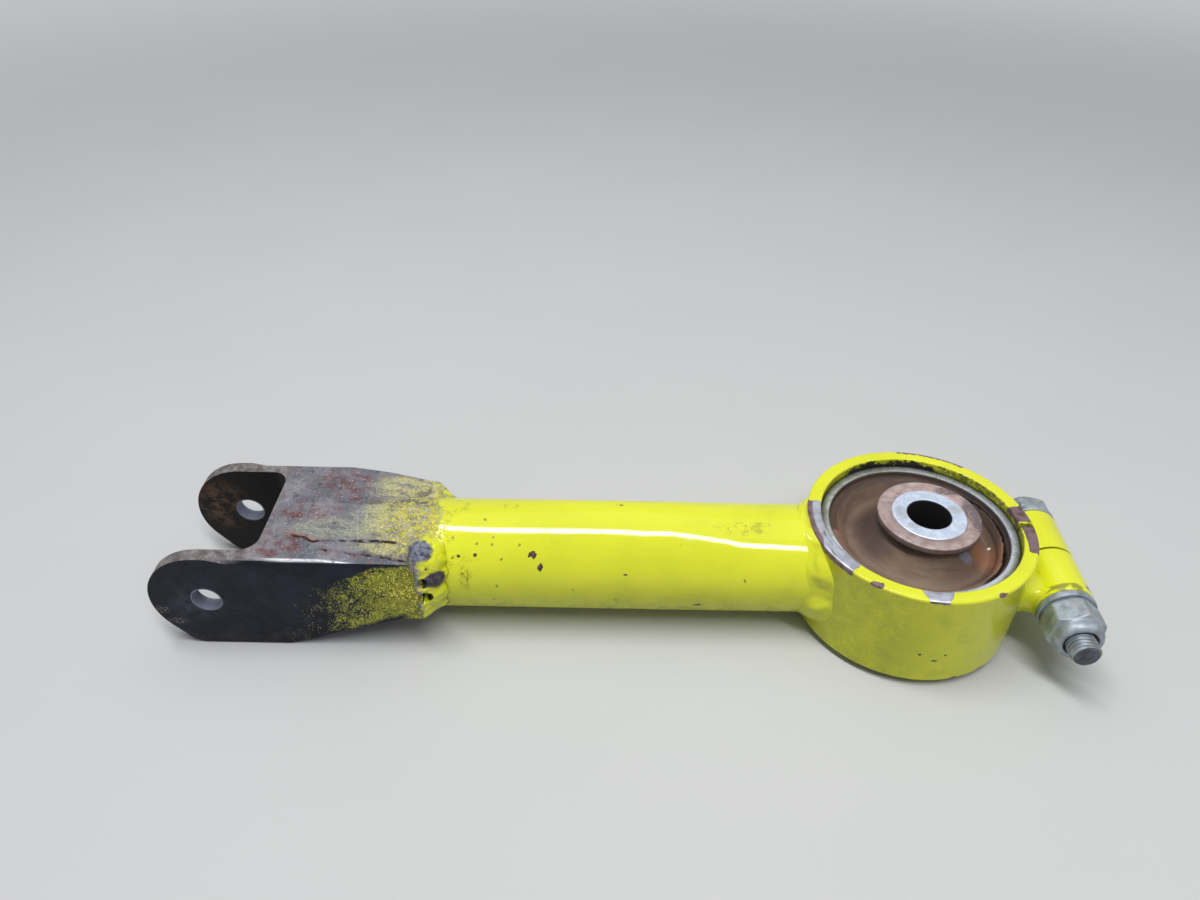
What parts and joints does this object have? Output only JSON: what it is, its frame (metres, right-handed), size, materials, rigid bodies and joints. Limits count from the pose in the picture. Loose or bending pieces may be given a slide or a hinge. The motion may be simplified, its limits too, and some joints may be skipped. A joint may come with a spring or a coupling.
{
  "type": "engine mount arm",
  "caption": "Welded steel engine mount arm with a pinned clevis at one end and a bolted split ring at the other that grips a bonded rubber bushing.",
  "frame": {"origin": "middle of the bushing's bore, halfway up the clamp ring", "axes": "+Z along the bushing's bore, up as the arm lies in use on a bench; +X from the clevis to the clamp bolt; the clevis pin runs along Y, and the clamp bolt within 3 degrees of it"},
  "size_m": [0.2122, 0.054, 0.0288],
  "materials": {
    "yellow_paint": "gloss lemon-yellow enamel, chipped at edges",
    "weathered_steel": "dark scaled steel with rust and paint overspray",
    "zinc_plate": "dull zinc plate",
    "brown_rubber": "aged, dusty, brown",
    "bright_core": "light bluish plate",
    "stained_washer": "stained pinkish brown",
    "dull_fastener": "dull grey plate",
    "locking_ring": "dark red fibre"
  },
  "bodies": {
    "arm": {"strut_tube": "yellow_paint", "clevis_channel": "weathered_steel", "seam_weld_near": "weathered_steel", "seam_weld_far": "weathered_steel", "end_weld_near": "yellow_paint", "end_weld_far": "yellow_paint", "ring_weld": "yellow_paint", "clamp_ring": "yellow_paint", "clamp_lug_near": "yellow_paint", "clamp_lug_far": "yellow_paint", "lug_weld_near": "yellow_paint", "lug_weld_far": "yellow_paint", "bushing_sleeve": "zinc_plate", "bushing_rubber": "brown_rubber", "clamp_bolt": "dull_fastener", "head_washer": "dull_fastener"},
    "core": {"bushing_core": "bright_core", "upper_snub_washer": "stained_washer", "lower_snub_washer": "stained_washer"},
    "washer": {"nut_washer": "dull_fastener"},
    "nut": {"lock_nut": "dull_fastener", "lock_nut_insert": "locking_ring"}
  },
  "joints": [
    {"name": "core_twist", "type": "hinge", "parent": "arm", "child": "core", "pos_m": [0, 0, 0], "axis": [0, 0, 1], "range_deg": [-12, 12], "stiffness_Nm_per_rad": 17},
    {"name": "nut_travel", "type": "slide", "parent": "arm", "child": "washer", "axis": [-0.0506, -0.9987, 0], "range_m": [0, 0.00341]},
    {"name": "nut_turn", "type": "hinge", "parent": "washer", "child": "nut", "pos_m": [0.03011, -0.00161, 0], "axis": [-0.0506, -0.9987, 0], "range_deg": [0, 1350]}
  ],
  "couplings": [
    {"joint": "nut_travel", "follows": "nut_turn", "m_per_rad": 0.00014438}
  ]
}
